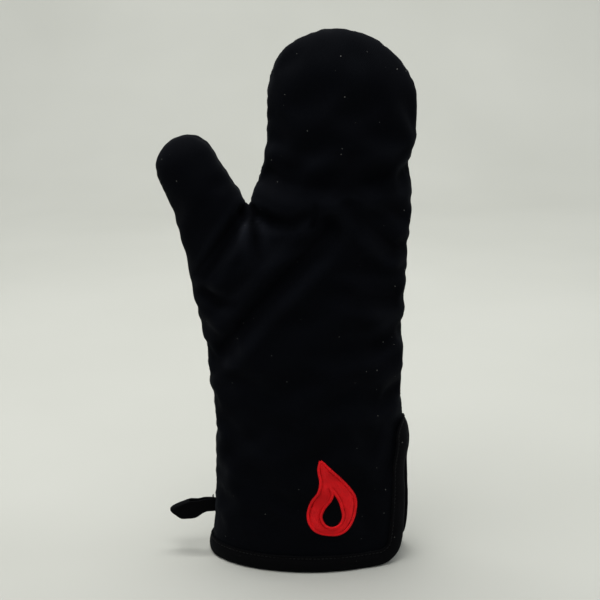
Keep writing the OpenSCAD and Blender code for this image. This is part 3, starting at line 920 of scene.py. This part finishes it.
def flame_emblem(surface):
    """Rows of satin stitches inside a stitched border, laid on the front of the cuff."""
    points, faces = [], []

    def lay(line, radius, lift):
        spots = [surface(x, z) for x, z in line]
        path = np.array([p + n * lift for p, n in spots])
        add_part(points, faces, satin_thread(path, [n for _, n in spots], radius))

    rows = int(FLAME_H / FLOSS)
    for k in range(1, rows):
        share = k / rows
        z = FLAME_LOW.z + FLAME_H * share
        stops = [along(FLAME_LEFT, share), along(FLAME_RIGHT, share)]
        if CORE_LEFT[0][0] < share < CORE_LEFT[-1][0]:
            stops[1:1] = [along(CORE_LEFT, share), along(CORE_RIGHT, share)]
        for a, b in zip(stops[::2], stops[1::2]):
            if b - a < SHORTEST_STITCH:
                continue
            jitter = 0.3 * noise.noise(Vector((k * 1.7, a, 0.5)))
            xs = np.linspace(a + 0.5 + jitter, b - 0.5 + jitter, max(4, int((b - a) / 2.2)))
            lay([(FLAME_X + x, z + STITCH_SLOPE * x) for x in xs], FLOSS * 0.52, SATIN_LIFT)
    for left, right in ((FLAME_LEFT, FLAME_RIGHT), (CORE_LEFT, CORE_RIGHT)):
        shares = np.linspace(left[0][0], left[-1][0], 60)
        outline = [(along(left, t), t) for t in shares] + [(along(right, t), t) for t in shares[::-1]]
        outline.append(outline[0])
        outline = np.array([(FLAME_X + x, 0, FLAME_LOW.z + FLAME_H * t) for x, t in outline])
        border = resample(outline, BORDER_PITCH)
        for a, b in zip(border[:-1], border[1:]):
            ahead = (b - a)[[0, 2]]
            across = np.array((-ahead[1], ahead[0])) / norm(ahead)
            mid = (a + b)[[0, 2]] / 2
            lay([mid + (across + ahead / 2) * w for w in BORDER_STEPS], BORDER_R, BORDER_LIFT)
    return make_mesh("embroidered_flame", points, faces)


# ---- materials
LINT_CELL = 9.0  # one speck of lint at most in a square of this size, in mm
LINT_SHARE = 0.11  # share of the squares that hold one
LINT_R = 0.45


class Nodes:
    """Short calls for building a node material."""

    def __init__(self, name):
        self.material = bpy.data.materials.new(name)
        self.material.use_nodes = True
        self.tree = self.material.node_tree
        self.surface = self.tree.nodes["Principled BSDF"]

    def add(self, kind, sockets=(), **settings):
        node = self.tree.nodes.new("ShaderNode" + kind)
        for key, value in settings.items():
            setattr(node, key, value)
        for key, value in dict(sockets).items():
            self.feed(node.inputs[key], value)
        return node

    def feed(self, socket, value):
        if isinstance(value, bpy.types.NodeSocket):
            self.tree.links.new(value, socket)
        else:
            socket.default_value = value

    def math(self, operation, a, b=0.0, c=0.0):
        return self.add("Math", {0: a, 1: b, 2: c}, operation=operation).outputs[0]

    def times(self, a, b):
        return self.math("MULTIPLY", a, b)

    def noise(self, vector, scale, detail=2.0, roughness=0.5):
        sockets = {"Vector": vector, "Scale": scale, "Detail": detail, "Roughness": roughness}
        return self.add("TexNoise", sockets).outputs["Fac"]

    def mix_color(self, share, a, b):
        node = self.add("Mix", data_type="RGBA")
        self.feed(node.inputs[0], share)
        for index, value in ((6, a), (7, b)):
            self.feed(node.inputs[index], (*value, 1) if isinstance(value, tuple) else value)
        return node.outputs[2]

    def between(self, value, low, high, a, b):
        """Colour that runs from a to b while the value runs from low to high."""
        share = self.math("MULTIPLY_ADD", value, 1 / (high - low), low / (low - high))
        return self.mix_color(share, a, b)

    def bump(self, height, distance, strength, normal=None):
        node = self.add("Bump", {"Height": height, "Distance": distance, "Strength": strength})
        if normal is not None:
            self.feed(node.inputs["Normal"], normal)
        return node.outputs["Normal"]

    def weave_uv(self):
        """The weave coordinates, in millimetres."""
        return self.add("UVMap", uv_map="weave").outputs["UV"]

    def place(self):
        return self.add("NewGeometry").outputs["Position"]

    def set(self, **inputs):
        for key, value in inputs.items():
            self.feed(self.surface.inputs[key.replace("_", " ")], value)
        return self.material


def twill_height(n, pitch):
    """Height of a twill weave: diagonal ribs, each broken into single yarns."""
    parts = n.add("SeparateXYZ", {0: n.weave_uv()})
    u, v = parts.outputs[0], parts.outputs[1]
    rib = n.math("SINE", n.times(n.math("ADD", u, v), 2 * math.pi / pitch))
    across = n.math("SUBTRACT", v, n.times(u, 0.35))
    yarn = n.math("SINE", n.times(across, 2 * math.pi / (pitch * 0.55)))
    return n.math("MULTIPLY_ADD", n.math("MULTIPLY_ADD", yarn, 0.35, rib), 0.25, 0.5)


def lint(n):
    """1 on a few small specks of lint, 0 elsewhere."""
    warped = n.add("TexNoise", {"Vector": n.weave_uv(), "Scale": 0.8}).outputs["Color"]
    at = n.add("VectorMath", {0: n.weave_uv(), 1: warped}, operation="ADD").outputs[0]
    spots = n.add("TexVoronoi", {"Vector": at, "Scale": 1 / LINT_CELL}, voronoi_dimensions="2D")
    chance = n.add("SeparateXYZ", {0: spots.outputs["Color"]}).outputs[0]
    radius = n.times(n.math("SUBTRACT", chance, 1 - LINT_SHARE), LINT_R / LINT_SHARE / LINT_CELL)
    return n.math("LESS_THAN", spots.outputs["Distance"], radius)


LINT_COLOR = (0.10, 0.10, 0.095)
SHEEN = 0.015
SHEEN_TINT = (0.7, 0.8, 1.0, 1)
SHINE = 0.035
NAP = 0.25  # height of the cloth's fuzz
RIDGE_HIGHLIGHT = -0.6  # painted highlight on ridges and painted shade in valleys: change of brightness per mm of depth
VALLEY_SHADE = -0.24
# least brightness that the painted valley shade leaves
DARKEST_FOLD_SHADE = 0.35


def painted_fold_light(n):
    """Painted light on the folds: brightness raised on the ridges beside them as painted highlight, and
    lowered in their valleys as painted shade.
    """
    relief = n.add("Attribute", attribute_name="relief").outputs["Fac"]
    ridge = n.times(n.math("MINIMUM", relief, 0.0), RIDGE_HIGHLIGHT)
    valley = n.times(n.math("MAXIMUM", relief, 0.0), VALLEY_SHADE)
    return n.math("MAXIMUM", n.math("ADD", n.math("ADD", ridge, valley), 1.0), DARKEST_FOLD_SHADE)


def fabric(name, dark, light, pitch, rib=0.16, rough=0.9, specks=True, fold_shading=False):
    """Woven cotton: twill ribs, soft nap, slow colour drift, a little lint, and, with the last flag set,
    painted highlight on the folds' ridges and painted shade in their valleys.
    """
    n = Nodes(name)
    place = n.place()
    drift = n.noise(place, 22, 4, 0.6)
    yarns = n.noise(n.weave_uv(), 1.3)
    height = twill_height(n, pitch)
    tone = n.mix_color(n.math("MULTIPLY_ADD", yarns, 0.6, n.times(drift, 0.5)), dark, light)
    tone = n.mix_color(n.times(height, 0.5), tone, tuple(c * 0.45 for c in dark))
    sheen, shine = SHEEN, SHINE
    if fold_shading:
        # painted highlight and shade: colour, sheen and shine scaled up on fold ridges and down in fold
        # valleys
        fold_light = painted_fold_light(n)
        tone = n.add("VectorMath", {0: tone, "Scale": fold_light}, operation="SCALE").outputs[0]
        sheen = n.times(fold_light, SHEEN)
        shine = n.times(fold_light, SHINE)
    if specks:
        tone = n.mix_color(lint(n), tone, LINT_COLOR)
    nap = n.bump(n.noise(place, 900, 3, 0.7), NAP * MM, 0.5)
    normal = n.bump(height, rib * MM, 0.8, nap)
    return n.set(Base_Color=tone, Roughness=rough, Normal=normal, Sheen_Weight=sheen, Sheen_Roughness=0.45,
                 Sheen_Tint=SHEEN_TINT, Specular_IOR_Level=shine)


def thread(name, color, rough):
    """Twisted thread with a soft shine."""
    n = Nodes(name)
    place = n.place()
    strands = n.noise(place, 1400)
    dark = tuple(c * 0.55 for c in color)
    shade = n.mix_color(n.times(n.noise(place, 160, 3), 0.8), color, dark)
    return n.set(Base_Color=shade, Roughness=rough, Normal=n.bump(strands, 0.12 * MM, 0.7),
                 Specular_IOR_Level=0.12)


def batting():
    """Loose white fibres."""
    n = Nodes("batting")
    place = n.place()
    tone = n.between(n.noise(place, 60, 5, 0.7), 0.3, 0.7, (0.55, 0.54, 0.5), (0.86, 0.85, 0.81))
    fibres = n.bump(n.noise(place, 420, 5, 0.8), 0.8 * MM, 0.8)
    return n.set(Base_Color=tone, Roughness=1.0, Normal=fibres, Sheen_Weight=0.3)


def pale_floor():
    n = Nodes("pale_floor")
    tone = n.between(n.noise(n.place(), 1.5, 3), 0.35, 0.65, (0.445, 0.45, 0.42), (0.475, 0.48, 0.45))
    return n.set(Base_Color=tone, Roughness=0.85, Specular_IOR_Level=0.1)


# ---- stage, light and camera
def backdrop():
    """Pale floor that curves up behind the mitt."""
    front, turn_y, radius, top, half_w = -3.0, 1.6, 1.2, 4.0, 4.0
    profile = [(front, 0.0), (0.0, 0.0), (turn_y, 0.0)]
    profile += [(turn_y + radius * math.sin(a), radius * (1 - math.cos(a)))
                for a in np.linspace(0, math.pi / 2, 17)[1:]]
    profile.append((turn_y + radius, top))
    points = [(x / MM, y / MM, z / MM) for y, z in profile for x in (-half_w, half_w)]
    faces = [[2 * k, 2 * k + 1, 2 * k + 3, 2 * k + 2] for k in range(len(profile) - 1)]
    floor = make_mesh("backdrop", points, faces)
    floor.data.materials.append(pale_floor())


def area_light(name, place, target, size, watts, color):
    light = bpy.data.lights.new(name, "AREA")
    light.shape = "RECTANGLE"
    light.size, light.size_y = size
    light.energy = watts
    light.color = color
    obj = new_object(name, light)
    obj.location = place
    obj.rotation_euler = (Vector(target) - Vector(place)).to_track_quat("-Z", "Y").to_euler()


SKY = (0.97, 1.0, 0.985, 1)
SKY_STRENGTH = 0.42
# Name, place, target, size, watts and colour
LIGHTS = (("top", (-0.2, -0.05, 1.5), (0, 0, 0.2), (1.3, 0.9), 19, (1.0, 0.99, 0.97)),
          ("left", (-1.6, -0.7, 1.1), (0, 0, 0.25), (1.0, 1.0), 3.6, (1.0, 1.0, 0.98)),
          ("right", (1.6, 0.1, 1.0), (0, 0, 0.25), (0.8, 1.2), 7, (0.97, 0.99, 1.0)),
          ("wall", (0, 0.9, 2.6), (0, 2.6, 1.2), (3.0, 0.8), 66, (1.0, 1.0, 0.98)))


def studio():
    world = bpy.data.worlds.new("studio")
    bpy.context.scene.world = world
    world.use_nodes = True
    sky = world.node_tree.nodes["Background"]
    sky.inputs["Color"].default_value = SKY
    sky.inputs["Strength"].default_value = SKY_STRENGTH
    for light in LIGHTS:
        area_light(*light)
    bpy.context.scene.view_settings.view_transform = "Standard"
    bpy.context.scene.view_settings.look = "None"


CAMERA_AT = (-0.0085, -0.8692, 0.4504)
CAMERA_DOWN = 15  # degrees below the horizon
CAMERA_FIELD = 30  # degrees from edge to edge


def camera():
    """Looks slightly down at the front."""
    lens = bpy.data.cameras.new("camera")
    lens.sensor_width = 36
    lens.lens = lens.sensor_width / 2 / math.tan(math.radians(CAMERA_FIELD / 2))
    obj = new_object("camera", lens)
    obj.location = CAMERA_AT
    obj.rotation_euler = (math.radians(90 - CAMERA_DOWN), 0, 0)
    bpy.context.scene.camera = obj


# ---- the mitt, put together
# The cloth comes free over these distances from the binding, a seam and the thumb's root line
EDGE_FADE, SEAM_FADE, ROOT_FADE = 18, 10, 12
ROOT_HOLD = 3  # it is held this far beside the root line
SEAM_FREE = 0.2  # how free it is at a seam


def edge_fade(distance):
    """0 under the binding, rising to 1 away from it."""
    return smooth((distance - BINDING_W - 1) / EDGE_FADE)


def padded_form():
    """The whole outer form, uneven and swollen, and the vertex paths of its seams."""
    patches = [hand_patch(FRONT), hand_patch(BACK), thumb_patch(FRONT), thumb_patch(BACK)]
    points, faces, parts, weave, index = join_patches(patches)
    obj = make_mesh("form", points, faces, weave)
    for k in range(len(patches)):
        obj.data.materials.append(bpy.data.materials.new("part" + str(k)))
    obj.data.polygons.foreach_set("material_index", parts)
    paths = seam_path(index)
    from_rim = distances(points, cuff_ring(0, 0))
    from_seam = distances(points, seam_samples(points, paths))
    root = np.concatenate((points[index[THUMB_FRONT][0]], points[index[THUMB_BACK][0]]))
    from_root = distances(points, resample(root, 1.0))
    free = edge_fade(from_rim) * mix(SEAM_FREE, 1, smooth(from_seam / SEAM_FADE))
    free *= smooth((from_root - ROOT_HOLD) / ROOT_FADE)
    set_points(obj.data, points + normals_of(obj.data) * (unevenness(points) * free)[:, None])
    simulate(obj, 1 - (1 - SLACK_PIN) * free)
    return obj, paths


FOLD_FADE = 9.0  # the folds fade out within this distance of the seams


def surface_of(obj):
    return points_of(obj.data), even_normals(obj.data)


def folded_form(form, paths):
    """Finer copy of the form with its folds and seams, its surface before the folds and after the seams,
    each vertex's distance from the seams and relief, and the points before the seams."""
    fine = subdivided(form, "fine_form")
    surface = surface_of(fine)
    set_points(fine.data, pushed_in(surface, pull_depths(surface[0])))
    unfolded = surface_of(fine)
    fade = edge_fade(distances(unfolded[0], cuff_ring(0, 0)))
    from_seam = distances(unfolded[0], seam_samples(unfolded[0], paths))
    folds = fold_depths(unfolded[0])
    relief = folds - blurred(fine.data, folds, 14)
    set_points(fine.data, pushed_in(unfolded, folds * (0.1 + 0.9 * smooth(from_seam / FOLD_FADE))))
    points = points_of(fine.data)
    set_points(fine.data, sew(points, normals_of(fine.data), seam_samples(points, paths), fade))
    return fine, unfolded, surface_of(fine), from_seam, relief, points


FINGER_BEND = (298, 362)  # heights where the finger pocket's blend starts and ends
THUMB_BEND = 45  # length of the thumb's blend from its root, and of the loop's from the side seam
LOOP_BEND = 11


def bend(body, start, end):
    """Blend from the cuff to another body, between two places in mm."""
    return "cuff", body, Vector(start) * MM, Vector(end) * MM


THUMB_AXIS = joint("thumb_fold")["axis"]
HAND_BLEND = bend("fingers", (0, 0, FINGER_BEND[0]), (0, 0, FINGER_BEND[1]))
THUMB_BLEND = bend("thumb", (ROOT_X, 0, ROOT_Z),
                   (ROOT_X + THUMB_BEND * THUMB_AXIS[2], 0, ROOT_Z - THUMB_BEND * THUMB_AXIS[0]))
LOOP_BLEND = bend("hanging_loop", (LOOP_END_X, 0, LOOP_Z), (LOOP_END_X - LOOP_BEND, 0, LOOP_Z))
# Piece name, part of the form, blend, half, and the endings of the node names
PANELS = (("hand_front", HAND_FRONT, HAND_BLEND, "front", ("", "_fingers")),
          ("hand_back", HAND_BACK, HAND_BLEND, "back", ("", "_fingers")),
          ("thumb_front", THUMB_FRONT, THUMB_BLEND, "front", ("_thumb",)),
          ("thumb_back", THUMB_BACK, THUMB_BLEND, "back", ("_thumb",)))
SQUEEZE_REACH = 10.0  # the seams squeeze the layers flat within this distance
PADDING_GAP = 6.0  # the padding stops this far from the seams
PADDING_T = 4.9  # the padding's thickness with its air
CLOTH_T = 0.9
LAYER_GAP = 0.2


def add_layers(form, fine, unfolded, skin, from_seam, relief):
    """Twill, padding and inner cloth of each half. The inner layers lie below the deepest fold nearby."""
    pressed = deepest(fine.data, ((unfolded[0] - skin[0]) * unfolded[1]).sum(1))
    squeeze = 0.5 + 0.5 * smooth(from_seam / SQUEEZE_REACH)
    padding_top = pressed + SHELL_T + 0.3 * squeeze
    padding_bottom = np.maximum(SHELL_T + PADDING_T * squeeze, padding_top + 0.5)
    cloth_top = padding_bottom + LAYER_GAP * squeeze
    cloth_bottom = cloth_top + CLOTH_T * squeeze

    coarse = len(form.data.vertices)  # the fine form keeps the coarse one's points first
    clear = from_seam[:coarse] > PADDING_GAP
    inside = np.array([all(clear[v] for v in face.vertices) for face in form.data.polygons])
    fine_source, coarse_source = source_of(fine), source_of(form)

    def below(depth):
        """The coarse form's surface at a depth below the unfolded form."""
        return pushed_in(unfolded, depth)[:coarse], unfolded[1][:coarse]

    twill_inside = pushed_in(skin, np.full(len(relief), SHELL_T)), skin[1]
    # the twill gets painted highlight on its fold ridges and painted shade in its fold valleys
    twill = fabric("black_twill", (0.0008, 0.0010, 0.0018), (0.0020, 0.0026, 0.0044), 1.15, fold_shading=True)
    lining = fabric("charcoal_lining", (0.012, 0.012, 0.013), (0.024, 0.024, 0.026), 0.8, specks=False)
    layers = (("twill", "shell", "black_twill", twill, fine_source, True, skin, twill_inside),
              ("padding", "batting", "white_batting", batting(), coarse_source, inside,
               below(padding_top), below(padding_bottom)),
              ("inner_cloth", "lining", "charcoal_lining", lining, coarse_source, True,
               below(cloth_top), below(cloth_bottom)))
    for layer, node_layer, slot, look, source, kept, outer, inner in layers:
        for name, part, blend, half, endings in PANELS:
            keep = (source["parts"] == part) & kept
            piece = panel(layer + "_" + name, source, keep, outer, inner, relief)
            nodes = [half + "_" + node_layer + ending for ending in endings]
            finish_piece(piece, blend, slot, look, nodes)


SEAMS = (("thumb_side_stitches", "cuff", ("thumb_side_seam",)),
         ("thumb_stitches", THUMB_BLEND, ("thumb_seam",)),
         ("hand_stitches", HAND_BLEND, ("crotch_seam", "fingers_seam", "vent_side_seam")))
SEAM_STITCH = (3.0, 2.3, 0.38)  # pitch, length and radius
SEAM_SINK = 0.15


def add_seams(points, paths, skin, look):
    """Rows of stitches lying in the grooves of the seams."""
    tree = tree_of(skin[0])
    for path, (name, body, nodes) in zip(paths, SEAMS):
        near = [tree.find(Vector(p))[1] for p in resample(points[path], 2.0)]
        piece = stitches(name, skin[0][near], skin[1][near], *SEAM_STITCH, sink=SEAM_SINK)
        finish_piece(piece, body, "seam_thread", look, nodes)


def front_surface(source, points):
    """Function from x, z to the point and normal there on the front of the mitt."""
    kept = np.flatnonzero(source["parts"] == HAND_FRONT)
    faces = [list(source["mesh"].polygons[f].vertices) for f in kept]
    tree = bvhtree.BVHTree.FromPolygons([Vector(p) for p in points], faces)

    def surface(x, z):
        spot, normal, _, _ = tree.ray_cast(Vector((x, -200, z)), Vector((0, 1, 0)))
        return np.array(spot), np.array(normal)

    return surface


def put_together():
    form, paths = padded_form()
    fine, unfolded, skin, from_seam, relief, unsewn = folded_form(form, paths)
    add_layers(form, fine, unfolded, skin, from_seam, relief)
    webbing = fabric("edge_tape", (0.0010, 0.0010, 0.0013), (0.0025, 0.0026, 0.0034), 1.0, 0.12, 0.8)
    dark_thread = thread("dark_thread", (0.003, 0.003, 0.0035), 0.6)
    flame_thread = thread("flame_thread", (0.86, 0.009, 0.014), 0.5)
    add_seams(unsewn, paths, skin, dark_thread)
    finish_piece(cuff_binding(), "cuff", "binding_tape", webbing, ("cuff_binding",))
    finish_piece(binding_thread(), "cuff", "binding_thread", dark_thread, ("binding_thread",))
    flame = flame_emblem(front_surface(source_of(fine), skin[0]))
    finish_piece(flame, "cuff", "red_embroidery", flame_thread, ("flame_emblem",))
    finish_piece(hanging_loop(), LOOP_BLEND, "binding_tape", webbing, ("hanging_loop",))
    finish_piece(loop_bartack(), "cuff", "seam_thread", dark_thread, ("loop_bartack",))
    for helper in (form, fine):
        bpy.data.objects.remove(helper)


put_together()
backdrop()
studio()
camera()
